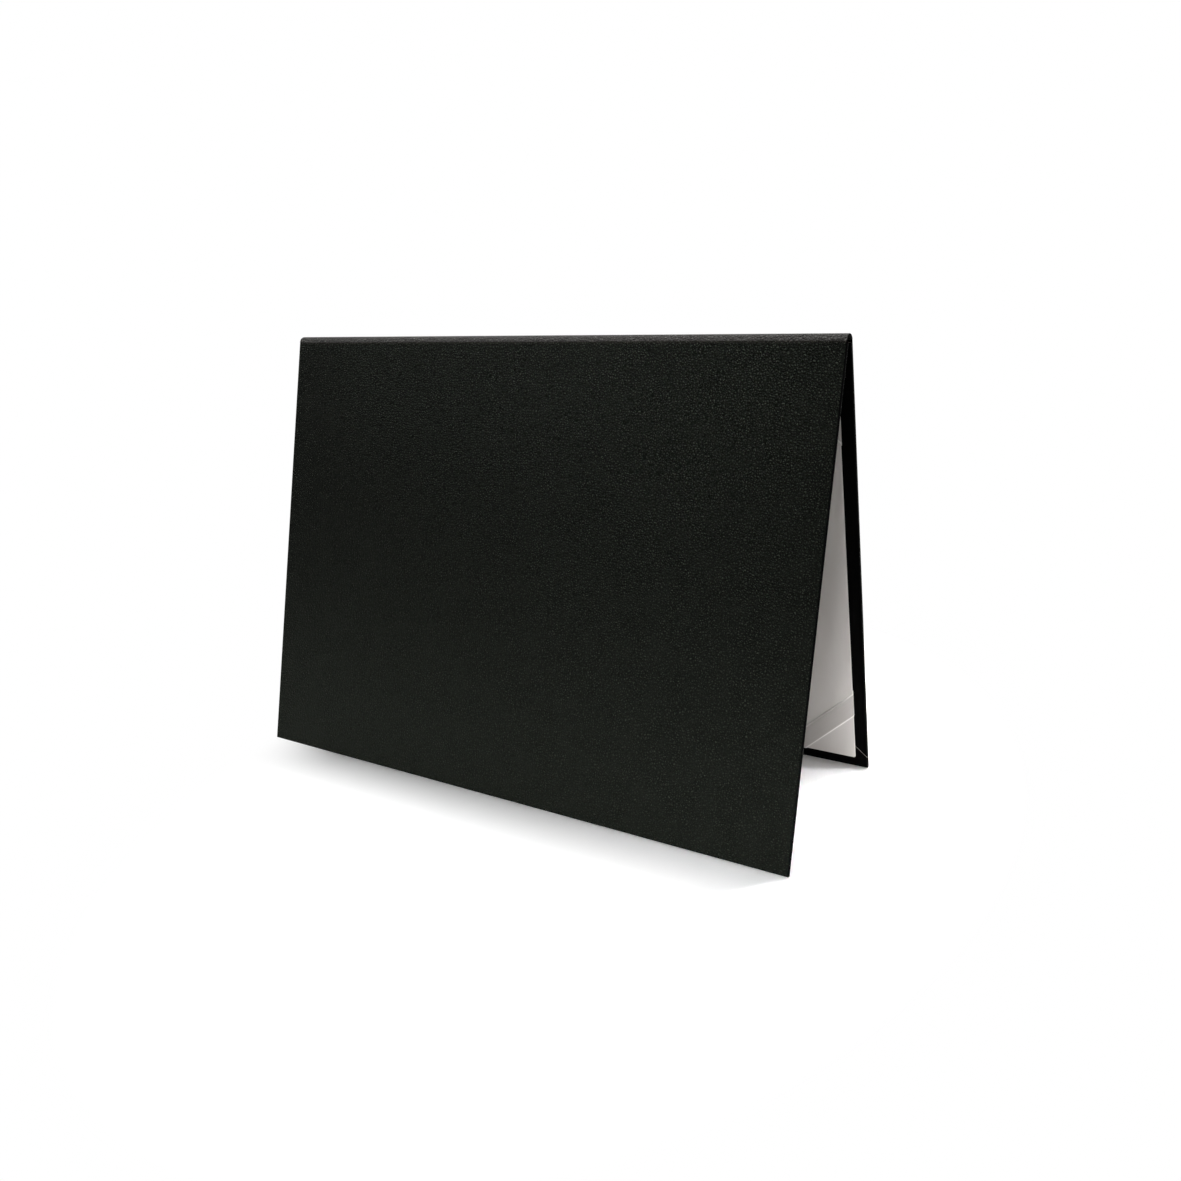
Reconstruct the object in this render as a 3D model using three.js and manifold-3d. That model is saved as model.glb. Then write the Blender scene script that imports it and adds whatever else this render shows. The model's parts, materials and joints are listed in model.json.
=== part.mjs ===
// Certificate cover: a landscape folder of leatherette over board, standing open like a tent.
// Millimetres, +Z up. The origin is on the ground midway between the two feet, and the front faces -Y.
import * as THREE from 'three';
import { mergeVertices } from 'three/addons/utils/BufferGeometryUtils.js';
import Module from 'manifold-3d';

const wasm = await Module();
wasm.setup();

// Panels
const PANEL_WIDTH = 310; // along the fold
const PANEL_HEIGHT = 222; // from the crease to the foot, on the outer face
const TENT_HALF_ANGLE = THREE.MathUtils.degToRad(14); // each panel off the vertical, as it stands
const CLOSED_ROOM = 0.3; // left between the two linings of a shut cover, for the sheet it holds

// Stock thicknesses
const LEATHERETTE = 0.35;
const BOARD = 1.2;
const CARD = 0.35;
const CLOTH = 0.15;
const RIBBON = 0.15;
const GLUE = 0.15; // between two layers

// Folded edges
const TURN_IN = 15; // leatherette folded onto the inside of the board
const EDGE_ROUND = 0.5; // of the folded edge
const MITRE_START = 7.1; // up the side edge from the foot, where the corner's diagonal cut begins
const MITRE_GAP = 0.3;

// Hinge
const CREASE_GAP = 0.5; // between the ends of two strips that meet at a crease
const LINING_DROP = 15; // how far the hinge lining reaches down each panel
const LINING_INSET = 3; // its ends, in from the cover's side edges

// Lining panels
const SIDE_BORDER = 6; // leatherette left showing at each side of the lining
const FOOT_BORDER = 6.5; // and below it
const HINGE_BORDER = 3.5; // from the crease down to the lining's top edge

// Corner ribbons
const RIBBON_WIDTH = 10;
const RIBBON_REACH = 33.5; // from the lining's corner to where the ribbon's middle crosses its edge
const RIBBON_TAIL = 15; // how far each end runs in behind the lining

// Steps in a round
const EDGE_STEPS = 3;
const SPINE_STEPS = 24;

const MATERIALS = {
  leatherette: new THREE.MeshStandardMaterial({ color: 0x1b1d1b, roughness: 0.6, metalness: 0 }),
  board: new THREE.MeshStandardMaterial({ color: 0x8d8577, roughness: 0.9, metalness: 0 }),
  card: new THREE.MeshStandardMaterial({ color: 0xe4e0d6, roughness: 0.85, metalness: 0 }),
  cloth: new THREE.MeshStandardMaterial({ color: 0xe2dcd3, roughness: 0.5, metalness: 0 }),
  ribbon: new THREE.MeshStandardMaterial({ color: 0xe6e1d8, roughness: 0.4, metalness: 0 }),
};

// Depths of the layers, in from a panel's outer face
const boardFrom = LEATHERETTE + GLUE;
const boardTo = boardFrom + BOARD;
const turnInFrom = boardTo + GLUE;
const edgeThickness = turnInFrom + LEATHERETTE;
const frontLiner = linerDepths(edgeThickness + GLUE);
const ribbonTailFrom = edgeThickness + GLUE;
const rearLiner = linerDepths(ribbonTailFrom + RIBBON + GLUE);
const ribbonFrom = rearLiner.clothTo + GLUE;
const ribbonTo = ribbonFrom + RIBBON;

// The spine is as wide as the shut cover is thick, and rolls over from one panel's slope to the other's.
const spineWidth = frontLiner.clothTo + ribbonTo + CLOSED_ROOM;
const spineRadius = spineWidth / 2 / Math.cos(TENT_HALF_ANGLE);
const spineCentre = -spineRadius * Math.sin(TENT_HALF_ANGLE); // below the creases
const creaseHeight =
  PANEL_HEIGHT * Math.cos(TENT_HALF_ANGLE) + (edgeThickness - EDGE_ROUND) * Math.sin(TENT_HALF_ANGLE);

// Heights on a panel, from the crease
const hingeEnd = -CREASE_GAP / 2;
const foot = -PANEL_HEIGHT;
const linerTop = -HINGE_BORDER;
const linerFoot = foot + FOOT_BORDER;
const linerHalfWidth = PANEL_WIDTH / 2 - SIDE_BORDER;

function linerDepths(cardFrom) {
  const clothFrom = cardFrom + CARD + GLUE;
  return { cardFrom, cardTo: cardFrom + CARD, clothFrom, clothTo: clothFrom + CLOTH };
}

function toManifold(geometry) {
  geometry.deleteAttribute('normal');
  geometry.deleteAttribute('uv');
  const merged = mergeVertices(geometry);
  const vertProperties = new Float32Array(merged.attributes.position.array);
  const triVerts = new Uint32Array(merged.index.array);
  return new wasm.Manifold(new wasm.Mesh({ numProp: 3, vertProperties, triVerts }));
}

function toGeometry(solid) {
  const { vertProperties, triVerts } = solid.getMesh();
  const geometry = new THREE.BufferGeometry();
  geometry.setAttribute('position', new THREE.BufferAttribute(vertProperties, 3));
  geometry.setIndex(new THREE.BufferAttribute(triVerts, 1));
  geometry.computeVertexNormals();
  return geometry;
}

function join(first, ...others) {
  return toGeometry(others.reduce((sum, next) => sum.add(toManifold(next)), toManifold(first)));
}

function cut(first, ...others) {
  return toGeometry(others.reduce((rest, next) => rest.subtract(toManifold(next)), toManifold(first)));
}

function outline(points) {
  return new THREE.Shape(points.map(([x, z]) => new THREE.Vector2(x, z)));
}

function rectangle(halfWidth, bottom, top) {
  return outline([[-halfWidth, bottom], [halfWidth, bottom], [halfWidth, top], [-halfWidth, top]]);
}

// A flat layer of a panel: an outline in the panel's plane, from one depth to another.
// Its edges are rounded if asked.
function layer(shape, from, to, round = 0) {
  const solid = new THREE.ExtrudeGeometry(shape, {
    depth: to - from - 2 * round,
    bevelEnabled: round > 0,
    bevelThickness: round,
    bevelSize: round,
    bevelOffset: -round,
    bevelSegments: EDGE_STEPS,
  });
  solid.rotateX(Math.PI / 2);
  solid.translate(0, to - round, 0);
  return solid;
}

// A section in the plane of Y and Z, drawn out along X and centred on it.
function drawnAcross(section, length, centre = 0) {
  const solid = new THREE.ExtrudeGeometry(section, {
    depth: length,
    bevelEnabled: false,
    curveSegments: SPINE_STEPS,
  });
  solid.translate(0, 0, centre - length / 2);
  const turned = new THREE.Matrix4().makeBasis(
    new THREE.Vector3(0, 1, 0),
    new THREE.Vector3(0, 0, 1),
    new THREE.Vector3(1, 0, 0),
  );
  return solid.applyMatrix4(turned);
}

// Points given as (in from the side edge, up or down from the end edge) of one corner, on a panel's plane.
function fromCorner(points, { side, halfWidth, end, inward }) {
  return outline(points.map(([across, along]) => [side * (halfWidth - across), end + inward * along]));
}

// A 45 degree band that starts on the side edge and runs inward and away from the corner.
function diagonalBand(start, rise, from, to) {
  return [
    [from, start + from - rise / 2],
    [to, start + to - rise / 2],
    [to, start + to + rise / 2],
    [from, start + from + rise / 2],
  ];
}

// One sheet folded round three edges of the board, its foot corners mitred, its hinge end left open.
function coverSkin() {
  const past = TURN_IN; // cutters reach this far beyond what they cut
  const through = edgeThickness + past;
  const halfWidth = PANEL_WIDTH / 2;
  const folded = layer(rectangle(halfWidth, foot, hingeEnd + past), 0, edgeThickness, EDGE_ROUND);
  const hingeCut = layer(rectangle(halfWidth + past, hingeEnd, hingeEnd + 2 * past), -past, through);
  const boardSpace = rectangle(halfWidth - LEATHERETTE, foot + LEATHERETTE, past);
  const pocket = layer(boardSpace, LEATHERETTE, turnInFrom);
  const opening = layer(rectangle(halfWidth - TURN_IN, foot + TURN_IN, past), boardTo, through);
  const liningSpace = rectangle(halfWidth - LINING_INSET + GLUE, -LINING_DROP - GLUE, past);
  const liningSeat = layer(liningSpace, boardTo, through);
  const mitres = [-1, 1].map((side) => {
    const slit = diagonalBand(MITRE_START, MITRE_GAP * Math.SQRT2, -LEATHERETTE, TURN_IN + LEATHERETTE);
    const place = { side, halfWidth, end: foot, inward: 1 };
    return layer(fromCorner(slit, place), turnInFrom, through);
  });
  return cut(folded, hingeCut, pocket, opening, liningSeat, ...mitres);
}

function boardSheet() {
  const clear = LEATHERETTE + GLUE;
  return layer(rectangle(PANEL_WIDTH / 2 - clear, foot + clear, hingeEnd - clear), boardFrom, boardTo);
}

// The inner hinge strip where it lies on a panel: down over the board's end, then flat on its inner face.
function hingeLining() {
  const section = outline([
    [boardFrom, hingeEnd],
    [edgeThickness, hingeEnd],
    [edgeThickness, -LINING_DROP],
    [turnInFrom, -LINING_DROP],
    [turnInFrom, hingeEnd - LEATHERETTE],
    [boardFrom, hingeEnd - LEATHERETTE],
  ]);
  return drawnAcross(section, PANEL_WIDTH - 2 * LINING_INSET);
}

function linerCard({ cardFrom, cardTo }) {
  const clear = CLOTH + GLUE;
  return layer(rectangle(linerHalfWidth - clear, linerFoot + clear, linerTop - clear), cardFrom, cardTo);
}

// Cloth stretched over the card's face and down its four edges.
function linerCloth({ cardFrom, clothFrom, clothTo }) {
  const wrapped = layer(rectangle(linerHalfWidth, linerFoot, linerTop), cardFrom, clothTo);
  const inside = rectangle(linerHalfWidth - CLOTH, linerFoot + CLOTH, linerTop - CLOTH);
  return cut(wrapped, layer(inside, cardFrom - CARD, clothFrom));
}

// A ribbon across one corner of the lining: over its face, round both edges, and in behind the card.
function cornerRibbon(side, atTop) {
  const wrap = GLUE + RIBBON;
  const rise = RIBBON_WIDTH * Math.SQRT2; // along an edge that the ribbon crosses at 45 degrees
  const reach = RIBBON_REACH + wrap;
  const near = reach - rise / 2;
  const far = reach + rise / 2;
  const corner = {
    side,
    halfWidth: linerHalfWidth + wrap,
    end: atTop ? linerTop + wrap : linerFoot - wrap,
    inward: atTop ? -1 : 1,
  };
  const swapped = (points) => points.map(([across, along]) => [along, across]);
  const shaped = (points, from, to) => layer(fromCorner(points, corner), from, to);
  const face = [[0, near], [0, far], [far, 0], [near, 0]];
  const turn = [[0, near], [0, far], [RIBBON, far - RIBBON], [RIBBON, near - RIBBON]];
  const tail = diagonalBand(reach, rise, 0, RIBBON_TAIL);
  return join(
    shaped(face, ribbonFrom, ribbonTo),
    ...[turn, swapped(turn)].map((points) => shaped(points, ribbonTailFrom, ribbonTo)),
    ...[tail, swapped(tail)].map((points) => shaped(points, ribbonTailFrom, ribbonTailFrom + RIBBON)),
  );
}

// Part of the roll of the spine between two radii, clear of the creases at both ends.
function spineRoll(outer, inner, length, centre = 0) {
  const start = TENT_HALF_ANGLE + CREASE_GAP / 2 / spineRadius;
  const section = new THREE.Shape();
  section.absarc(0, 0, outer, start, Math.PI - start, false);
  section.absarc(0, 0, inner, Math.PI - start, start, true);
  return drawnAcross(section, length, centre);
}

// The leatherette of the spine, its two ends folded in like the panels' edges.
function spineCover() {
  const foldOuter = spineRadius - LEATHERETTE - GLUE;
  const foldInner = foldOuter - LEATHERETTE;
  const endWall = PANEL_WIDTH / 2 - LEATHERETTE / 2;
  const foldCentre = (PANEL_WIDTH - TURN_IN - LEATHERETTE / 2) / 2;
  const folds = [-1, 1].flatMap((side) => [
    spineRoll(spineRadius, foldInner, LEATHERETTE, side * endWall),
    spineRoll(foldOuter, foldInner, TURN_IN - LEATHERETTE / 2, side * foldCentre),
  ]);
  return join(spineRoll(spineRadius, spineRadius - LEATHERETTE, PANEL_WIDTH), ...folds);
}

function spineLining() {
  const outer = spineRadius - 2 * (LEATHERETTE + GLUE);
  return spineRoll(outer, outer - LEATHERETTE, PANEL_WIDTH - 2 * LINING_INSET);
}

function piece(name, geometry, material) {
  const mesh = new THREE.Mesh(geometry, material);
  mesh.name = name;
  return mesh;
}

// The layers of one panel, hung from its crease and leaning out to its foot.
function panel(name, liner, extras = []) {
  const hung = new THREE.Group();
  hung.position.set(0, -spineWidth / 2, creaseHeight);
  hung.rotation.x = -TENT_HALF_ANGLE;
  hung.add(
    piece(`${name}_cover`, coverSkin(), MATERIALS.leatherette),
    piece(`${name}_board`, boardSheet(), MATERIALS.board),
    piece(`${name}_hinge_lining`, hingeLining(), MATERIALS.leatherette),
    piece(`${name}_liner_card`, linerCard(liner), MATERIALS.card),
    piece(`${name}_liner_cloth`, linerCloth(liner), MATERIALS.cloth),
    ...extras,
  );
  return hung;
}

// The rear panel is the front one turned about, so its local right is the reader's left.
function ribbons() {
  const sides = [['left', 1], ['right', -1]];
  const ends = [['top', true], ['bottom', false]];
  return ends.flatMap(([end, atTop]) => sides.map(([hand, side]) =>
    piece(`ribbon_${end}_${hand}`, cornerRibbon(side, atTop), MATERIALS.ribbon)));
}

function spine() {
  const group = new THREE.Group();
  group.position.z = creaseHeight + spineCentre;
  group.add(
    piece('spine_cover', spineCover(), MATERIALS.leatherette),
    piece('spine_lining', spineLining(), MATERIALS.leatherette),
  );
  return group;
}

const rearHalf = new THREE.Group();
rearHalf.rotation.z = Math.PI;
rearHalf.add(panel('rear', rearLiner, ribbons()));

const certificateCover = new THREE.Group();
certificateCover.add(panel('front', frontLiner), spine(), rearHalf);

export default certificateCover;
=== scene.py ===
"""Looks of a certificate cover: leatherette folded over board, cloth linings and corner ribbons.

It stands open as a tent. Metres, +Z up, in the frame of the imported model. What the model measures
is read from its nodes and joints.
"""
import json
import math

import bpy
from mathutils import Matrix, Vector


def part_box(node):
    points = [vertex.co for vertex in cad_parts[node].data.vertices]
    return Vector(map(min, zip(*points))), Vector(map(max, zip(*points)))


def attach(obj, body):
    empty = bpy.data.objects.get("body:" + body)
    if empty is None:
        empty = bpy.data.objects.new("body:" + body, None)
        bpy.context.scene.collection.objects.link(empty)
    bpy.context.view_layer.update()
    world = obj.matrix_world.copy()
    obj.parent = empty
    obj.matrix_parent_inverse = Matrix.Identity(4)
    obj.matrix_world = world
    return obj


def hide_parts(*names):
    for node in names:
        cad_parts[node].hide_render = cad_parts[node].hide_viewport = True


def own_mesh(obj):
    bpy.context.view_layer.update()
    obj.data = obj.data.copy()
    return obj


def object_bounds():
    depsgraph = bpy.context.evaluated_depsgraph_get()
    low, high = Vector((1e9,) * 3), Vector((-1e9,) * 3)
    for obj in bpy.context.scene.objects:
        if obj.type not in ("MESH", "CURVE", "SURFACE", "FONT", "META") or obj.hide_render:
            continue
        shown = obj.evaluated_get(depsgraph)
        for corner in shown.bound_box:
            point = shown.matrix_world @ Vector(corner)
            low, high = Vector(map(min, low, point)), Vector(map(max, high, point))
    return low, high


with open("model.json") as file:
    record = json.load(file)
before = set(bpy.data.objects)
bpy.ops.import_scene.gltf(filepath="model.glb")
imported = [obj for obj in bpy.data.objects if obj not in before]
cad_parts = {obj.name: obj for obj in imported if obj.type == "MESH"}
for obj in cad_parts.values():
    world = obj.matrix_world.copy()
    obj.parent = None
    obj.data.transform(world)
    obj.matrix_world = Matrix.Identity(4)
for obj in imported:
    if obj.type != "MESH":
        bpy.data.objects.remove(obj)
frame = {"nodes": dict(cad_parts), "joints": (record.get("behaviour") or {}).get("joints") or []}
cad_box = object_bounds()

MM = 0.001

# Camera: where the photograph was taken from, and the small shift of a cropped picture
CAMERA_PLACE = Vector((281.7, -396.5, 236.2)) * MM
CAMERA_YAW = math.radians(30.27)
CAMERA_PITCH = math.radians(17.63)
CAMERA_ROLL = math.radians(-1.757)
CAMERA_LENS = 29.87  # millimetres
CAMERA_SENSOR = 36  # millimetres wide
CAMERA_SHIFT = (-0.036, 0.0123)
CAMERA_NEAR = 10 * MM

# Thicknesses of the sheets and of the glue between them
LEATHERETTE = 0.35 * MM
CLOTH = 0.15 * MM
RIBBON = 0.15 * MM
GLUE_LINE = 0.15 * MM

# Folded edges of the leatherette
TURN_IN = 15 * MM
FOLD_ROUND = 0.6 * MM  # of the fold over the board's edge
FOLD_MARGIN = 0.9 * MM  # from the edge to where the sheet lies flat
END_PRESSED_SHADED = 0.6  # of an end's thickness, from its outer side, in the pressed leatherette's painted shade
PRESSED_SHADED_AT_END = FOLD_ROUND / 20  # depth at which the pressed look, with its painted shade, begins at a panel's ends
PRESSED_SHADED_AT_FOOT = FOLD_ROUND / 2  # and along its foot
CORNER_ROUND = 0.3 * MM  # of a panel's foot corners
CORNER_LEAST = 0.12 * MM  # round left where the corner's fold lies flat
MITRE_START = 7.1 * MM  # up the side edge from the foot
MITRE_GAP = 0.22 * MM  # width of the slit
HINGE_SLANT = 0.3  # how far a folded edge stops short of the crease, for each unit of depth
SPINE_FOLD = 0.425 * MM  # radius of the fold at each end of the spine
SPINE_CLEAR = 0.1  # rise of the spine's long edges, for each unit inward, clear of a shut panel

# Grain of the leatherette. The sizes of its patterns are in millimetres
PEBBLE = 1.25
PEBBLE_RANDOM = 0.95
PEBBLE_CROWN = 0.35  # where a crown is full, as the pattern's distance from a valley
WANDER = 3  # length over which the pebbles sway out of line
PEBBLE_SWAY = 1.0 * MM
WRINKLE = 0.6
WRINKLE_SHARE = 0.6  # of the pebbles' height
WRINKLE_SHEEN = (0.44, 0.62)  # of the wrinkles' noise, where a speck of painted sheen begins and is full
PATCH = 11  # size of the places where the roller bit less deep
PATCH_NOISE = (0.35, 0.6)  # of the patches' noise, from the least bite to the full one
PATCH_LEAST = 0.6  # bite in the middle of such a patch
FOOT_GRAIN = 0.45  # depth of the grain, and of its painted sheen and shade, at a panel's foot, as a share of that by its crease
GRAIN_DEPTH = 0.8 * MM
FLAT_SHADE = 0.08  # tone of leatherette without grain, between a valley's painted shade, 0, and a speck's painted sheen, 1
VALLEY_DULLER = 0.15  # roughness more than the sheet's own
SPECK_GLOSSIER = 0.1  # roughness less
HIGHLIGHT_FADE = 1.3 * MM  # down each panel from its crease, over which the roll's painted highlight fades out
LEATHERETTE_IOR = 1.45
PULL_MARK = 1.2  # in the pressed leatherette
PULL_DEPTH = 0.1 * MM

# Lining cloth and ribbons
CLOTH_ROUND = 0.3 * MM
CLOTH_CORNER = 0.8 * MM
RIBBON_WIDTH = 10 * MM
RIBBON_REACH = 33.5 * MM  # from the lining's corner to where the ribbon's middle crosses its edge
RIBBON_TAIL = 15 * MM
RIBBON_BEND = 0.4 * MM
RIBBON_LIFT = 0.25 * MM  # off the lining, in the middle of its span
RIBBON_DROP = 0.1 * MM  # of its selvedges, which turn down to the lining
RIBBON_CROWN = 14  # power of the round across it: the higher, the closer to its selvedges

# Weaves and fibres. The sizes of their patterns are in millimetres
STREAK = (26, 110)  # across and along a streak in the taffeta
STREAK_TURN = math.radians(24)  # of the streaks, out of upright
STREAK_NOISE = (0.35, 0.65)  # of the streaks' noise, from dull to bright
TAFFETA_RIB = 0.9
RIB_SWAY = 0.8 * MM
SLUB = (0.7, 9)  # across and along a thicker thread
SLUB_SHARE = 0.8  # of the ribs' height
SATIN_RIB = 0.7
SATIN_FLOAT = (14, 0.5)  # along and across a floating thread
FLOAT_SHARE = 0.6  # of the ribs' height
SELVEDGE = (0.9 * MM, 0.5 * MM)  # in from the ribbon's edge, where the selvedge begins and is full
SELVEDGE_SHARE = 1.5  # of the ribs' height
WEAVE_DEPTH = 0.04 * MM
COTTON_FIBRE = 0.6
PULP_DEPTH = 0.03 * MM
WAVE_PHASE = 20  # radians that a wave texture runs through in each unit of its scale

# Stage
FLOOR_REACH = 1.0  # half the width of the paper
FADE_START = 0.2  # distance from the middle at which the paper begins to pale
FADE_END = 0.28  # and is plain white
FADE_SHAPE = (1.4, 1, 1)  # distances along the cover count for more
FADE_SHIFT = (-0.05, 0, 0)  # the paper pales sooner on the left
SEEN_PAPER = (1.19, 1.19, 1.19, 1)  # the paper as the eye sees it, white where nothing shades it
WORLD_FILL = 0.12

# Steps in a round, and the least angle between two faces that stays a sharp edge
SHARP_ANGLE = math.radians(40)
ARC_STEPS = 6
SPINE_STEPS = 40
RIBBON_STEPS = 24
RIBBON_FIBRES = 12

JOINTS = {joint["name"]: joint for joint in frame["joints"]}
CREASE = Vector(JOINTS["rear_crease"]["pos_m"])
LEAN = math.radians(-JOINTS["rear_crease"]["range_deg"][0])  # shut, both panels are upright
SPINE_CENTRE = CREASE.z - CREASE.y * math.tan(LEAN)  # height of the middle of the spine's roll
SPINE_RADIUS = CREASE.y / math.cos(LEAN)

# A folded cover's materials, in the order of its slots; the second is near-black painted shade
GRAINED, PRESSED_SHADED, CUT = range(3)


def panel_frame(facing):
    """From a panel's own axes (across, in from its outer face, up from its crease) to the model's."""
    across = (facing, 0, 0)
    inward = (0, facing * math.cos(LEAN), -math.sin(LEAN))
    up = (0, facing * math.sin(LEAN), math.cos(LEAN))
    turned = Matrix((across, inward, up)).transposed().to_4x4()
    return Matrix.Translation((0, -facing * CREASE.y, CREASE.z)) @ turned


FRONT = panel_frame(1)
REAR = panel_frame(-1)


def reach(node, place):
    """Lowest and highest corner of a CAD node along a panel's own axes."""
    inverse = place.inverted()
    points = [inverse @ vertex.co for vertex in frame["nodes"][node].data.vertices]
    low = Vector([min(point[axis] for point in points) for axis in range(3)])
    high = Vector([max(point[axis] for point in points) for axis in range(3)])
    return low, high


def quarter():
    """Sine and cosine at even steps through a quarter turn."""
    angles = [math.pi / 2 * k / ARC_STEPS for k in range(ARC_STEPS + 1)]
    return [(math.sin(angle), math.cos(angle)) for angle in angles]


def strip_faces(rows, columns, closed=False, flip=False, slits=()):
    """Quads between the rows of a grid of points, apart from the slits, given as (row, column)."""
    faces = []
    for row in range(rows - 1):
        near, far = row * columns, (row + 1) * columns
        for column in range(columns if closed else columns - 1):
            beside = (column + 1) % columns
            quad = (near + column, far + column, far + beside, near + beside)
            if (row, column) not in slits:
                faces.append(quad[::-1] if flip else quad)
    return faces


def sheet_piece(name, points, faces, thickness, materials, place=Matrix()):
    """A thin closed sheet: the points and faces are its outer side, and its thickness lies behind them.

    Its rim, the cut edge, takes the last of its materials.
    """
    mesh = bpy.data.meshes.new(name)
    mesh.from_pydata(points, [], faces)
    for material in materials:
        mesh.materials.append(material)
    piece = bpy.data.objects.new(name, mesh)
    bpy.context.scene.collection.objects.link(piece)
    solid = piece.modifiers.new("thickness", "SOLIDIFY")
    solid.thickness = thickness
    solid.offset = -1
    solid.use_even_offset = True
    solid.material_offset_rim = len(materials) - 1
    evaluated = piece.evaluated_get(bpy.context.evaluated_depsgraph_get())
    piece.data = bpy.data.meshes.new_from_object(evaluated)
    piece.modifiers.clear()
    piece.data.shade_smooth()
    piece.data.set_sharp_from_angle(angle=SHARP_ANGLE)
    piece.matrix_world = place
    return piece


def fit(piece, body, slot, *nodes):
    """A piece moves with its body and stands for these CAD nodes. Its slot is not used."""
    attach(piece, body)
    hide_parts(*nodes)


# Materials

def linear(code):
    """An sRGB hex colour as linear red, green, blue and alpha."""
    parts = [int(code[i:i + 2], 16) / 255 for i in (1, 3, 5)]
    return [p / 12.92 if p <= 0.04045 else ((p + 0.055) / 1.055) ** 2.4 for p in parts] + [1.0]


def per_metre(millimetres):
    """A pattern's scale from the size of one repeat."""
    return 1 / (millimetres * MM)


def wave_scale(millimetres):
    """A wave texture's scale from the size of one repeat, which is a whole turn of its phase."""
    return per_metre(millimetres) * math.tau / WAVE_PHASE


def add(tree, kind, inputs=None, **settings):
    """Adds a node, with its settings, its input values and the links to its inputs."""
    made = tree.nodes.new(kind)
    for key, value in settings.items():
        setattr(made, key, value)
    for key, value in (inputs or {}).items():
        if isinstance(value, bpy.types.NodeSocket):
            tree.links.new(value, made.inputs[key])
        else:
            made.inputs[key].default_value = value
    return made


def calc(tree, operation, *values):
    """One step of arithmetic on numbers and sockets."""
    return add(tree, "ShaderNodeMath", dict(enumerate(values)), operation=operation).outputs[0]


def ramp(tree, value, low, high, start=0.0, end=1.0, curve="SMOOTHSTEP"):
    """From start to end while a value runs from low to high, and held beyond them."""
    inputs = {"Value": value, "From Min": low, "From Max": high, "To Min": start, "To Max": end}
    return add(tree, "ShaderNodeMapRange", inputs, interpolation_type=curve).outputs[0]


def blend(tree, share, first, second):
    """A colour between two others."""
    inputs = {"Factor": share, "A": first, "B": second}
    return add(tree, "ShaderNodeMix", inputs, data_type="RGBA").outputs["Result"]


def relief(tree, height, depth, strength=0.5):
    """The surface's direction under a height pattern of this depth."""
    inputs = {"Height": height, "Distance": depth, "Strength": strength}
    return add(tree, "ShaderNodeBump", inputs).outputs[0]


def noise(tree, place, scale=1.0, detail=2.0, **more):
    """A noise texture, with its grey value as Fac and three more as Color."""
    return add(tree, "ShaderNodeTexNoise", {"Vector": place, "Scale": scale, "Detail": detail, **more})


def drawn_out(tree, place, wide, high, turn=0.0):
    """Places counted in repeats of a pattern, these millimetres wide in x and high in z."""
    scale = (per_metre(wide), 1, per_metre(high))
    inputs = {"Vector": place, "Rotation": (0, turn, 0), "Scale": scale}
    return add(tree, "ShaderNodeMapping", inputs).outputs[0]


def swayed(tree, place, sway, width):
    """Places that a colour pattern moves aside, by up to this width on each axis."""
    inputs = {0: sway, 1: width, 2: place}
    return add(tree, "ShaderNodeVectorMath", inputs, operation="MULTIPLY_ADD").outputs[0]


def upright_ribs(tree, place, apart):
    """Even ribs that follow each other in x, this many millimetres apart."""
    inputs = {"Vector": place, "Scale": wave_scale(apart), "Distortion": 0.0}
    return add(tree, "ShaderNodeTexWave", inputs, bands_direction="X").outputs["Fac"]


def new_material(name):
    """A new material, its tree, its shader and the places on the piece that its patterns follow."""
    material = bpy.data.materials.new(name)
    material.use_nodes = True
    tree = material.node_tree
    place = add(tree, "ShaderNodeTexCoord").outputs["Object"]
    return material, tree, tree.nodes["Principled BSDF"], place


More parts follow.
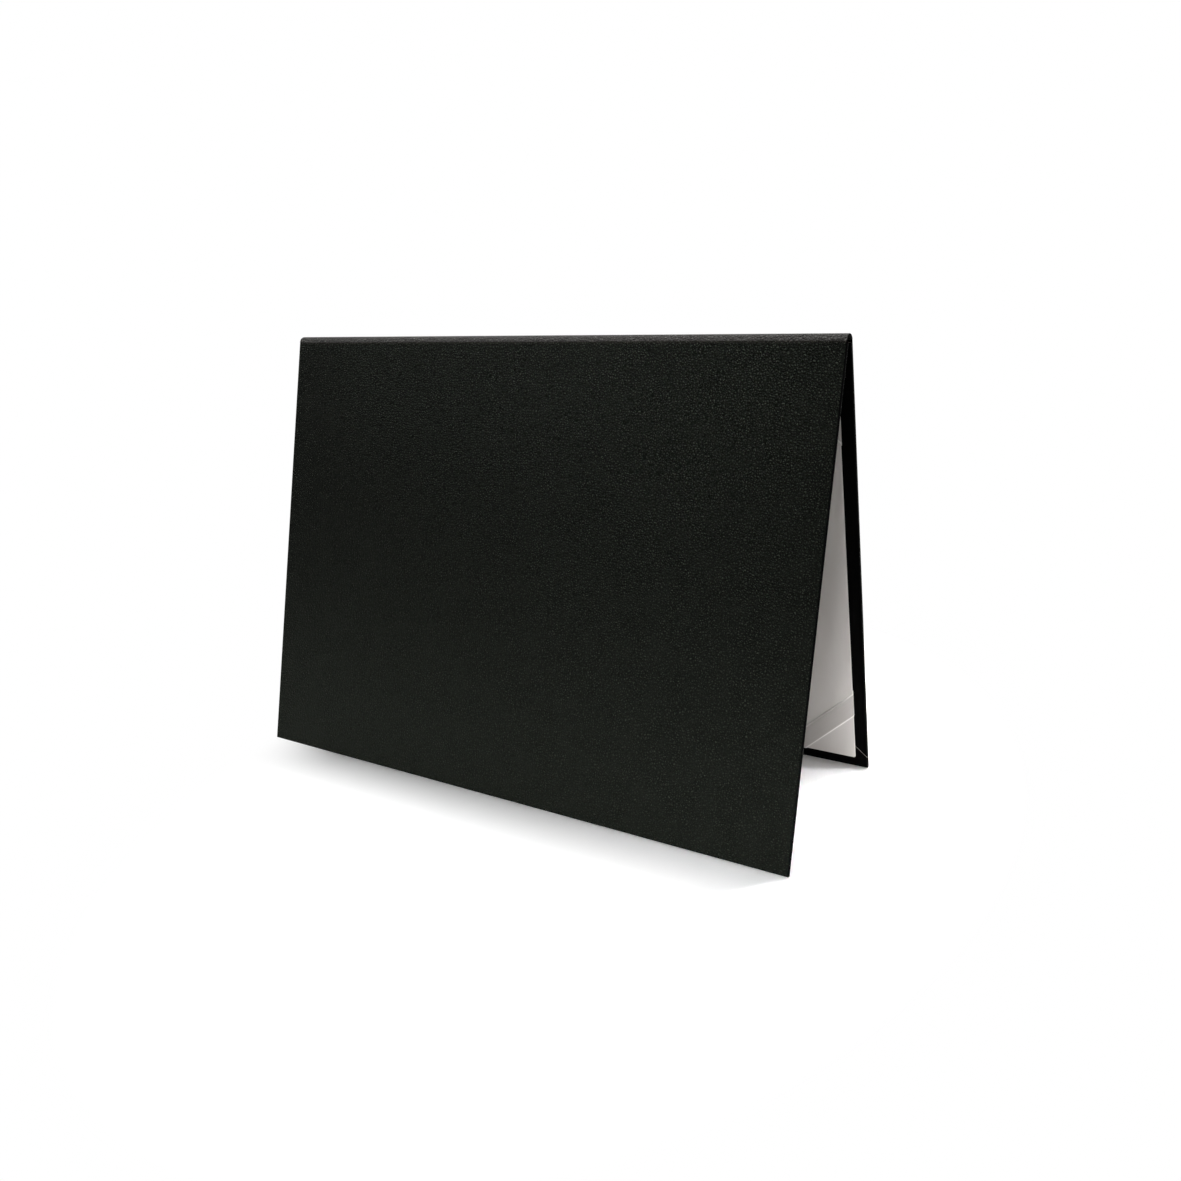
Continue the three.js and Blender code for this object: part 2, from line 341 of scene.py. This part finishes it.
def embossed_leatherette(name, dull, gloss, bent_and_lit):
    """Polyurethane on cotton, embossed by a hot roller.

    Soft pebbles a little over a millimetre across with fine wrinkles over them. The low sheen is broken
    into glossier specks on the crowns, which are also painted lighter as painted sheen, while the
    valleys are painted darker as painted shade, and the black leans a little to green. The roller bit
    less deep in places. Toward the foot of a panel the grain and its painted sheen and shade are weaker
    than by its crease, standing in for light that rakes the top of the face. Over the spine the sheet is
    stretched and painted a warm grey as a painted highlight of its roll, which fades out below the
    crease.
    """
    material, tree, shader, place = new_material(name)
    own = add(tree, "ShaderNodeSeparateXYZ", {0: place})
    wander = noise(tree, place, per_metre(WANDER)).outputs["Color"]
    cells = {"Vector": swayed(tree, place, wander, (PEBBLE_SWAY,) * 3), "Scale": per_metre(PEBBLE),
             "Randomness": PEBBLE_RANDOM}
    pebbles = add(tree, "ShaderNodeTexVoronoi", cells, feature="SMOOTH_F1").outputs["Distance"]
    valleys = add(tree, "ShaderNodeTexVoronoi", cells, feature="DISTANCE_TO_EDGE").outputs["Distance"]
    wrinkles = noise(tree, place, per_metre(WRINKLE), Roughness=0.6).outputs["Fac"]
    patches = noise(tree, place, per_metre(PATCH)).outputs["Fac"]

    # The grain's height: pebbles and wrinkles, as deep as the roller bit, and shallower toward the foot,
    # where the painted sheen and shade weaken too, for light that rakes the top of the face
    even = ramp(tree, patches, *PATCH_NOISE, start=PATCH_LEAST, curve="LINEAR")
    upper = ramp(tree, own.outputs["Z"], -CREASE.z, 0, start=FOOT_GRAIN, curve="LINEAR")
    bite_and_raking_light = calc(tree, "MULTIPLY", even, upper)
    crowns = ramp(tree, valleys, 0, PEBBLE_CROWN)
    domed = calc(tree, "SUBTRACT", crowns, pebbles)
    rough = calc(tree, "MULTIPLY_ADD", wrinkles, WRINKLE_SHARE, domed)
    height = calc(tree, "MULTIPLY", rough, bite_and_raking_light)

    # Painted sheen on the crowns and painted shade in the valleys, in black or in the warm grey painted
    # highlight of the roll
    sheen_specks = ramp(tree, wrinkles, *WRINKLE_SHEEN)
    painted_specks = calc(tree, "MULTIPLY", crowns, sheen_specks)
    shade = add(tree, "ShaderNodeMix", {"Factor": bite_and_raking_light, "A": FLAT_SHADE, "B": painted_specks}).outputs[0]
    black = blend(tree, shade, linear("#020402"), linear("#3a3d36"))
    # Painted highlight: the warm grey of the spine's roll, which fades out on a panel's outside below
    # its crease
    pale_highlight = blend(tree, shade, linear("#191816"), linear("#393632"))
    below = ramp(tree, own.outputs["Z"], -HIGHLIGHT_FADE, 0)
    outside = calc(tree, "LESS_THAN", own.outputs["Y"], LEATHERETTE / 2)
    tone = pale_highlight if bent_and_lit else blend(tree, calc(tree, "MULTIPLY", below, outside), black, pale_highlight)
    polish = ramp(tree, shade, 0, 1, dull + VALLEY_DULLER, dull - SPECK_GLOSSIER, curve="LINEAR")
    tree.links.new(tone, shader.inputs["Base Color"])
    tree.links.new(polish, shader.inputs["Roughness"])
    tree.links.new(relief(tree, height, GRAIN_DEPTH, strength=1.0), shader.inputs["Normal"])
    shader.inputs["IOR"].default_value = LEATHERETTE_IOR
    shader.inputs["Specular IOR Level"].default_value = gloss
    return material


def pressed_shaded_leatherette():
    """The same sheet where it is pulled round the board and rubbed down inside.

    The pull flattens the grain, so the edges and borders have no sheen. Their colour is painted shade: a
    near-black for the ends and inner borders that lie in shadow.
    """
    material, tree, shader, place = new_material("pressed_shaded_leatherette")
    pull = noise(tree, place, per_metre(PULL_MARK)).outputs["Fac"]
    # Painted shade: near-black for the shadowed ends and borders, with faint pull marks
    tone = blend(tree, pull, linear("#010101"), linear("#040404"))
    tree.links.new(tone, shader.inputs["Base Color"])
    tree.links.new(relief(tree, pull, PULL_DEPTH), shader.inputs["Normal"])
    shader.inputs["Roughness"].default_value = 0.8
    shader.inputs["IOR"].default_value = LEATHERETTE_IOR
    shader.inputs["Specular IOR Level"].default_value = 0.02
    return material


def cotton_backing():
    """The raw cut edge of the leatherette, where its brushed cotton backing shows as a pale thread."""
    material, tree, shader, place = new_material("cotton_backing_cut")
    fibres = noise(tree, place, per_metre(COTTON_FIBRE), detail=3.0).outputs["Fac"]
    tone = blend(tree, fibres, linear("#86827c"), linear("#c3bfb6"))
    tree.links.new(tone, shader.inputs["Base Color"])
    shader.inputs["Roughness"].default_value = 0.9
    return material


def watered_taffeta():
    """Acetate taffeta, woven with fine upright ribs and pressed so that they shine in faint streaks.

    The ribs are 0.3 mm apart on the cloth. They are drawn 0.9 mm apart, so that they show.
    """
    material, tree, shader, place = new_material("watered_taffeta")
    water = noise(tree, drawn_out(tree, place, *STREAK, STREAK_TURN), detail=3.0, Distortion=0.8)
    aside = swayed(tree, place, water.outputs["Color"], (RIB_SWAY, 0, 0))
    ribs = upright_ribs(tree, aside, TAFFETA_RIB)
    threads = noise(tree, drawn_out(tree, place, *SLUB)).outputs["Fac"]
    height = calc(tree, "MULTIPLY_ADD", threads, SLUB_SHARE, ribs)
    streak = ramp(tree, water.outputs["Fac"], *STREAK_NOISE)
    tone = blend(tree, streak, linear("#cac5c1"), linear("#d4d0cc"))
    polish = ramp(tree, streak, 0, 1, 0.52, 0.42, curve="LINEAR")
    tree.links.new(tone, shader.inputs["Base Color"])
    tree.links.new(polish, shader.inputs["Roughness"])
    tree.links.new(relief(tree, height, WEAVE_DEPTH), shader.inputs["Normal"])
    shader.inputs["Specular IOR Level"].default_value = 0.35
    shader.inputs["Sheen Weight"].default_value = 0.1
    return material


def satin_ribbon():
    """Polyester satin woven as a narrow tape.

    Floating warp threads run along it and give a soft gloss, fine ribs cross it, and a firmer selvedge
    closes each edge. The selvedges are painted whiter, partly for their firmer weave and partly as a
    painted highlight along the lower edge. The ribs are 0.25 mm apart on the tape. They are drawn 0.7 mm
    apart, so that they show.
    """
    material, tree, shader, place = new_material("satin_ribbon")
    split = add(tree, "ShaderNodeSeparateXYZ", {0: place})
    ribs = upright_ribs(tree, place, SATIN_RIB)
    warp = noise(tree, drawn_out(tree, place, *SATIN_FLOAT)).outputs["Fac"]
    from_middle = calc(tree, "ABSOLUTE", split.outputs["Z"])
    selvedge_and_highlight = ramp(tree, from_middle, *(RIBBON_WIDTH / 2 - inset for inset in SELVEDGE))
    woven = calc(tree, "MULTIPLY_ADD", warp, FLOAT_SHARE, ribs)
    height = calc(tree, "MULTIPLY_ADD", selvedge_and_highlight, SELVEDGE_SHARE, woven)
    floats = blend(tree, warp, linear("#b8b3af"), linear("#c1bdb9"))
    # Painted highlight: the selvedges painted whiter, partly for their firmer weave and partly for the
    # light along the lower edge
    tone = blend(tree, selvedge_and_highlight, floats, linear("#e9e6e2"))
    tree.links.new(tone, shader.inputs["Base Color"])
    tree.links.new(relief(tree, height, WEAVE_DEPTH), shader.inputs["Normal"])
    shader.inputs["Roughness"].default_value = 0.4
    shader.inputs["Anisotropic"].default_value = 0.4
    shader.inputs["Specular IOR Level"].default_value = 0.4
    shader.inputs["Sheen Weight"].default_value = 0.1
    return material


def pressed_board(name, dark, light, fleck):
    """Pulp board as it leaves the press: matt, with flecks of fibre in two tones."""
    material, tree, shader, place = new_material(name)
    pulp = noise(tree, place, per_metre(fleck), detail=5.0).outputs["Fac"]
    tone = blend(tree, pulp, linear(dark), linear(light))
    tree.links.new(tone, shader.inputs["Base Color"])
    tree.links.new(relief(tree, pulp, PULP_DEPTH), shader.inputs["Normal"])
    shader.inputs["Roughness"].default_value = 0.92
    return material


leatherette = embossed_leatherette("embossed_leatherette", dull=0.55, gloss=0.045, bent_and_lit=False)
pressed_shaded = pressed_shaded_leatherette()
# Over the spine, the stretched sheet is painted paler as a painted highlight of its roll
stretched_highlit = embossed_leatherette("stretched_highlit_leatherette", dull=0.5, gloss=0.25, bent_and_lit=True)
backing = cotton_backing()
taffeta = watered_taffeta()
satin = satin_ribbon()
greyboard = pressed_board("pressed_greyboard", "#7c7466", "#9a9284", fleck=1.5)
lining_card = pressed_board("smooth_lining_card", "#dcd8cd", "#ebe7dd", fleck=0.8)


# Leatherette

def fold_profile(depth):
    """The folded edge in section, from the flat outer side to the flat inner one.

    Each point is (in from the edge, in from the outer face).
    """
    outer = [(FOLD_ROUND * (1 - s), FOLD_ROUND * (1 - c)) for s, c in quarter()]
    inner = [(FOLD_ROUND * (1 - c), depth - FOLD_ROUND * (1 - s)) for s, c in quarter()]
    return [(FOLD_MARGIN, 0), *outer, (0, END_PRESSED_SHADED * depth), *inner, (FOLD_MARGIN, depth)]


def folded_cover(name, place, node, strip_node):
    """One sheet folded round three edges of a panel's board.

    Its foot corners are mitred, and its hinge end is open. The folded side edges are cut back round
    the seat of the hinge strip.
    """
    low, high = reach(node, place)
    half, foot, depth = high.x, low.z, high.y
    strip_low, strip_high = reach(strip_node, place)
    seat, seat_foot = strip_high.x + GLUE_LINE, strip_low.z - GLUE_LINE
    spread = MITRE_GAP * math.sqrt(0.5)  # of the slit's sides, measured up the edge

    def edge_path(inset, top, slit):
        side = half - inset
        radius = max(CORNER_ROUND - inset, CORNER_LEAST)
        right = [(side - radius * (1 - s), foot + inset + radius * (1 - c)) for s, c in quarter()]
        right += [(side, slit - spread), (side, slit + spread), (side, top)]
        return [(-x, z) for x, z in reversed(right)] + right

    points = []
    profile = fold_profile(depth)
    for inset, inward in profile:
        turned = inset if inward > depth / 2 else 0
        path = edge_path(inset, -HINGE_SLANT * inward, foot + MITRE_START + turned)
        points += [(x, inward, z) for x, z in path]
    count = len(points) // len(profile)
    end = count - 1
    turned_over = ARC_STEPS + 3  # the first row of the inner round
    slits = [(row, column) for row in range(turned_over, len(profile)) for column in (1, end - 2)]
    faces = [tuple(range(count))] + strip_faces(len(profile), count, slits=slits)

    last = len(points) - count
    top = -HINGE_SLANT * depth
    flap = half - TURN_IN
    side_end = foot + MITRE_START + TURN_IN + spread
    foot_end = half - (TURN_IN - MITRE_START) - spread
    inner = [(seat, top), (seat, seat_foot), (flap, seat_foot), (flap, side_end)]
    inner.append((foot_end, foot + TURN_IN))
    left = range(len(points), len(points) + len(inner))
    right = range(left.stop, left.stop + len(inner))
    points += [(-x, depth, z) for x, z in inner] + [(x, depth, z) for x, z in inner]
    faces.append((last + 1, last, *left[:-1]))
    faces.append((last + end, last + end - 1, *reversed(right[:-1])))
    faces.append((*reversed(range(last + 2, last + end - 1)), left[-1], right[-1]))
    piece = sheet_piece(name, points, faces, LEATHERETTE, [leatherette, pressed_shaded, backing], place)
    for face in piece.data.polygons:
        across, inward, up = face.center
        if face.material_index == CUT and up < seat_foot - LEATHERETTE:
            continue  # only the mitres show the cut edge
        # The outer part of the ends and the inner borders take the pressed leatherette's painted shade
        at_end = abs(across) > half - FOLD_ROUND
        pressed_shaded_from = PRESSED_SHADED_AT_END if at_end else PRESSED_SHADED_AT_FOOT
        arris = at_end and END_PRESSED_SHADED * depth < inward < depth - FOLD_ROUND / 2 and up < top
        face.material_index = PRESSED_SHADED if inward > pressed_shaded_from and not arris else GRAINED
    return piece


def rolled(name, path, radius, material):
    """A sheet rolled over from the rear crease to the front one.

    Its path is given as (along the fold, in from the roll). Its long edges are cut so that they stay
    clear of the panels' ends when the cover is shut.
    """
    points = []
    for x, inset in path:
        for k in range(SPINE_STEPS + 1):
            angle = LEAN + (math.pi - 2 * LEAN) * k / SPINE_STEPS
            out = radius - inset
            points.append((x, out * math.cos(angle), SPINE_CENTRE + out * math.sin(angle)))
    faces = strip_faces(len(path), SPINE_STEPS + 1, flip=True)
    # The cut rim takes the pressed leatherette's painted shade
    piece = sheet_piece(name, points, faces, LEATHERETTE, [material, pressed_shaded])
    for vertex in piece.data.vertices:
        lowest = CREASE.z + SPINE_CLEAR * (CREASE.y - abs(vertex.co.y))
        vertex.co.z = max(vertex.co.z, lowest)
    return piece


def spine_leatherette():
    """The strip between the panels, its ends folded in and pressed in painted shade like the panels'
    edges.
    """
    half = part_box("spine_cover")[1].x
    inner = 2 * SPINE_FOLD
    turn = [(half - SPINE_FOLD * (1 - s), SPINE_FOLD * (1 - c)) for s, c in quarter()]
    back = [(half - SPINE_FOLD * (1 - c), SPINE_FOLD * (1 + s)) for s, c in quarter()[1:]]
    right = [*turn, *back, (half - TURN_IN, inner)]
    path = [(-x, inset) for x, inset in reversed(right)] + right
    piece = rolled("spine_leatherette", path, SPINE_RADIUS, stretched_highlit)
    # The folded ends take the pressed leatherette's painted shade
    for face in piece.data.polygons:
        if abs(face.center.x) > half - SPINE_FOLD / 2:
            face.material_index = PRESSED_SHADED
    return piece


def spine_lining_strip():
    """The hinge lining where it crosses the spine."""
    low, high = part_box("spine_lining")
    # All in the pressed leatherette's painted shade
    return rolled("spine_lining_strip", [(low.x, 0), (high.x, 0)], high.z - SPINE_CENTRE, pressed_shaded)


def hinge_strip(name, place, node):
    """The hinge lining on a panel: over the board's end, then down its inner face."""
    low, high = reach(node, place)
    bend = [(high.y - FOLD_ROUND * (1 - s), high.z - FOLD_ROUND * (1 - c)) for s, c in quarter()]
    section = [(low.y, high.z), *bend, (high.y, low.z)]
    points = [(x, inward, up) for inward, up in section for x in (low.x, high.x)]
    faces = strip_faces(len(section), 2, flip=True)
    # The cut rim takes the pressed leatherette's painted shade
    return sheet_piece(name, points, faces, LEATHERETTE, [leatherette, pressed_shaded], place)


# Linings

def lining_cloth(name, place, node):
    """Cloth stretched over the lining card's face and down its four edges."""
    low, high = reach(node, place)

    def path(inset):
        radius = CLOTH_CORNER - inset
        x0, z0 = high.x - CLOTH_CORNER, low.z + CLOTH_CORNER
        right = [(x0 + radius * s, z0 - radius * c) for s, c in quarter()]
        right += [(x, low.z + high.z - z) for x, z in reversed(right)]
        return [(-x, z) for x, z in reversed(right)] + right

    arris = [(CLOTH_ROUND * (1 - s), high.y - CLOTH_ROUND * (1 - c)) for s, c in quarter()]
    profile = [(2 * CLOTH_ROUND, high.y), *arris, (0, low.y)]
    points = [(x, inward, z) for inset, inward in profile for x, z in path(inset)]
    count = len(points) // len(profile)
    faces = [tuple(reversed(range(count)))]
    faces += strip_faces(len(profile), count, closed=True, flip=True)
    return sheet_piece(name, points, faces, CLOTH, [taffeta], place)


def corner_ribbon(name, node, side, inward):
    """A ribbon across one corner of the rear lining: over it, round both edges, and in behind the card.

    Each fibre starts behind the side edge, crosses the face at 45 degrees and ends behind the other
    edge.
    """
    low, high = reach(node, REAR)
    corner = Vector((high.x if side > 0 else low.x, 0, low.z if inward > 0 else high.z))
    middle = RIBBON_REACH + abs(corner.x) - reach("rear_liner_cloth", REAR)[1].x
    rise = RIBBON_WIDTH * math.sqrt(2)  # along an edge that the ribbon crosses at 45 degrees
    back, face = low.y, high.y

    points = []
    for k in range(RIBBON_FIBRES + 1):
        # From one selvedge, 1, to the other, with the fibres closer there
        across = math.cos(math.pi * k / RIBBON_FIBRES)
        edge = abs(across) ** RIBBON_CROWN
        level = face - RIBBON_DROP * edge
        wrap = [(RIBBON_BEND * (1 - s), level - RIBBON_BEND * (1 - c)) for s, c in quarter()]
        wrap += [(RIBBON_BEND * (1 - c), back + RIBBON_BEND * (1 - s)) for s, c in quarter()]
        wrap += [(RIBBON_TAIL, back)]
        run = [0]
        for (q0, d0), (q1, d1) in zip(wrap, wrap[1:]):
            run.append(run[-1] + math.hypot(q1 - q0, d1 - d0))
        start = middle + rise * across / 2
        behind = [(q, start - RIBBON_BEND + along, d) for (q, d), along in zip(wrap, run)]
        span = start - 2 * RIBBON_BEND
        over = []
        for step in range(1, RIBBON_STEPS):
            share = step / RIBBON_STEPS
            lift = RIBBON_LIFT * (1 - edge) * math.sin(math.pi * share) ** 0.5
            over.append((RIBBON_BEND + span * share, start - RIBBON_BEND - span * share, level + lift))
        fibre = behind[::-1] + over + [(b, a, d) for a, b, d in behind]
        points += [corner + Vector((-side * a, d, inward * b)) for a, b, d in fibre]
    count = len(points) // (RIBBON_FIBRES + 1)
    faces = strip_faces(RIBBON_FIBRES + 1, count, flip=side * inward < 0)

    length_way = Vector((-side, 0, -inward)).normalized()
    width_way = length_way.cross((0, 1, 0))
    centre = corner + Vector((-side, 0, inward)) * middle / 2
    own = Matrix.Translation(centre) @ Matrix((length_way, (0, 1, 0), width_way)).transposed().to_4x4()
    inverse = own.inverted()
    piece = sheet_piece(name, [inverse @ p for p in points], faces, RIBBON, [satin], REAR @ own)
    return piece


def dress_panel(side, place):
    """The leatherette, hinge lining, board and lining of one panel."""
    body = f"{side}_panel"
    cover = folded_cover(f"{side}_leatherette", place, f"{side}_cover", f"{side}_hinge_lining")
    fit(cover, body, "leatherette", f"{side}_cover")

    strip = hinge_strip(f"{side}_hinge_strip", place, f"{side}_hinge_lining")
    fit(strip, body, "leatherette", f"{side}_hinge_lining")

    cloth = lining_cloth(f"{side}_lining_cloth", place, f"{side}_liner_cloth")
    fit(cloth, body, "liner_cloth", f"{side}_liner_cloth")

    for node, material in ((f"{side}_board", greyboard), (f"{side}_liner_card", lining_card)):
        materials = frame["nodes"][node].data.materials
        materials.clear()
        materials.append(material)


def dress_spine():
    """The two sheets of the spine, each on the spine's body with a mesh of its own."""
    for piece, node in ((spine_leatherette(), "spine_cover"), (spine_lining_strip(), "spine_lining")):
        fit(piece, "spine", "leatherette", node)
        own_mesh(piece)


def dress_ribbons():
    """Four ribbons on the rear lining. The rear panel's own right is the reader's left."""
    for end, inward in (("top", -1), ("bottom", 1)):
        for hand, side in (("left", 1), ("right", -1)):
            node = f"ribbon_{end}_{hand}"
            fit(corner_ribbon(f"satin_{node}", node, side, inward), "rear_panel", "ribbon", node)


# Stage

def studio_floor():
    """White paper that keeps the cover's shadow, and is plain white to the eye further away."""
    mesh = bpy.data.meshes.new("studio_floor")
    corners = [(x * FLOOR_REACH, y * FLOOR_REACH) for x, y in ((-1, -1), (1, -1), (1, 1), (-1, 1))]
    mesh.from_pydata([(x, y, cad_box[0].z) for x, y in corners], [], [(0, 1, 2, 3)])
    floor = bpy.data.objects.new("studio_floor", mesh)
    bpy.context.scene.collection.objects.link(floor)
    material = bpy.data.materials.new("matt_white_paper")
    material.use_nodes = True
    tree = material.node_tree
    tree.nodes.clear()
    seen = seen_rays(tree)
    tone = blend(tree, seen, linear("#eeeeee"), SEEN_PAPER)
    paper = add(tree, "ShaderNodeBsdfDiffuse", {"Color": tone})
    white = add(tree, "ShaderNodeEmission", {"Color": linear("#ffffff"), "Strength": 1.0})
    place = add(tree, "ShaderNodeTexCoord").outputs["Object"]
    shaped = add(tree, "ShaderNodeVectorMath", {
        0: place, 1: FADE_SHAPE, 2: FADE_SHIFT}, operation="MULTIPLY_ADD")
    away = add(tree, "ShaderNodeVectorMath", {0: shaped.outputs[0]}, operation="LENGTH")
    fade = ramp(tree, away.outputs["Value"], FADE_START, FADE_END)
    share = calc(tree, "MULTIPLY", fade, seen)
    both = add(tree, "ShaderNodeMixShader", {0: share, 1: paper.outputs[0], 2: white.outputs[0]})
    add(tree, "ShaderNodeOutputMaterial", {"Surface": both.outputs[0]})
    mesh.materials.append(material)


def seen_rays(tree):
    """1 for rays that the eye follows: from the camera, off a gloss or through a clear piece."""
    rays = add(tree, "ShaderNodeLightPath").outputs
    direct = calc(tree, "MAXIMUM", rays["Is Camera Ray"], rays["Is Glossy Ray"])
    return calc(tree, "MAXIMUM", direct, rays["Is Transmission Ray"])


def studio_air():
    """A dim even fill, with a white background where the eye looks past the object."""
    world = bpy.data.worlds.new("studio_air")
    bpy.context.scene.world = world
    world.use_nodes = True
    tree = world.node_tree
    tree.nodes.clear()
    fill = add(tree, "ShaderNodeBackground", {"Color": linear("#ffffff"), "Strength": WORLD_FILL})
    white = add(tree, "ShaderNodeBackground", {"Color": linear("#ffffff"), "Strength": 1.0})
    seen = seen_rays(tree)
    both = add(tree, "ShaderNodeMixShader", {0: seen, 1: fill.outputs[0], 2: white.outputs[0]})
    add(tree, "ShaderNodeOutputWorld", {"Surface": both.outputs[0]})


def softbox(name, place, aim, size, power, spread=180):
    """A rectangular area light that faces a point. A grid on it narrows its spread, in degrees."""
    data = bpy.data.lights.new(name, "AREA")
    data.shape = "RECTANGLE"
    data.size, data.size_y = size
    data.energy = power
    data.spread = math.radians(spread)
    lamp = bpy.data.objects.new(name, data)
    bpy.context.scene.collection.objects.link(lamp)
    lamp.location = place
    lamp.rotation_euler = (Vector(aim) - Vector(place)).to_track_quat("-Z", "Y").to_euler()


def studio_lamps():
    """The lamps of the photograph, with sizes in metres and power in watts."""
    # From above and behind: the roll of the spine and most of the floor's light
    softbox("overhead_strip", place=(0, 0.25, 1.0), aim=(0, 0, 0), size=(0.5, 0.12), power=8.7)
    # Two narrow beams onto the floor at the open right end
    softbox("right_softbox", place=(0.75, 0.2, 0.75), aim=(0.14, 0.045, 0), size=(0.08, 0.08),
            power=0.019, spread=9)
    softbox("back_softbox", place=(0.74, 0.8, 0.75), aim=(0.14, 0, 0), size=(0.12, 0.12),
            power=0.1, spread=14)
    # Low, into the open right end and onto the foot of the lining
    softbox("inside_strip", place=(0.4, -0.045, 0.03), aim=(0.14, 0.03, 0.015), size=(0.06, 0.03),
            power=0.0172, spread=36)
    # The front panel: its top, all of it, and its foot
    softbox("high_softbox", place=(-0.14, -0.35, 0.9), aim=(-0.04, 0, 0.3), size=(0.42, 0.04),
            power=0.56, spread=24)
    softbox("front_softbox", place=(0.15, -1.05, 0.35), aim=(0, 0, 0.1), size=(0.5, 0.4), power=2.7)
    softbox("low_strip", place=(-0.1, -0.5, 0.03), aim=(-0.1, -0.05, 0.01), size=(0.8, 0.04),
            power=0.52, spread=34)


def photo_camera():
    """The camera at the photograph's place, angle and framing."""
    data = bpy.data.cameras.new("photo_camera")
    data.sensor_width = CAMERA_SENSOR
    data.lens = CAMERA_LENS
    data.shift_x, data.shift_y = CAMERA_SHIFT
    data.clip_start = CAMERA_NEAR
    camera = bpy.data.objects.new("photo_camera", data)
    bpy.context.scene.collection.objects.link(camera)
    yaw = Matrix.Rotation(CAMERA_YAW, 4, "Z")
    pitch = Matrix.Rotation(math.pi / 2 - CAMERA_PITCH, 4, "X")
    roll = Matrix.Rotation(CAMERA_ROLL, 4, "Z")
    camera.matrix_world = Matrix.Translation(CAMERA_PLACE) @ yaw @ pitch @ roll
    bpy.context.scene.camera = camera


photo_camera()
dress_panel("front", FRONT)
dress_panel("rear", REAR)
dress_spine()
dress_ribbons()
studio_floor()
studio_air()
studio_lamps()
bpy.context.scene.view_settings.view_transform = "Standard"
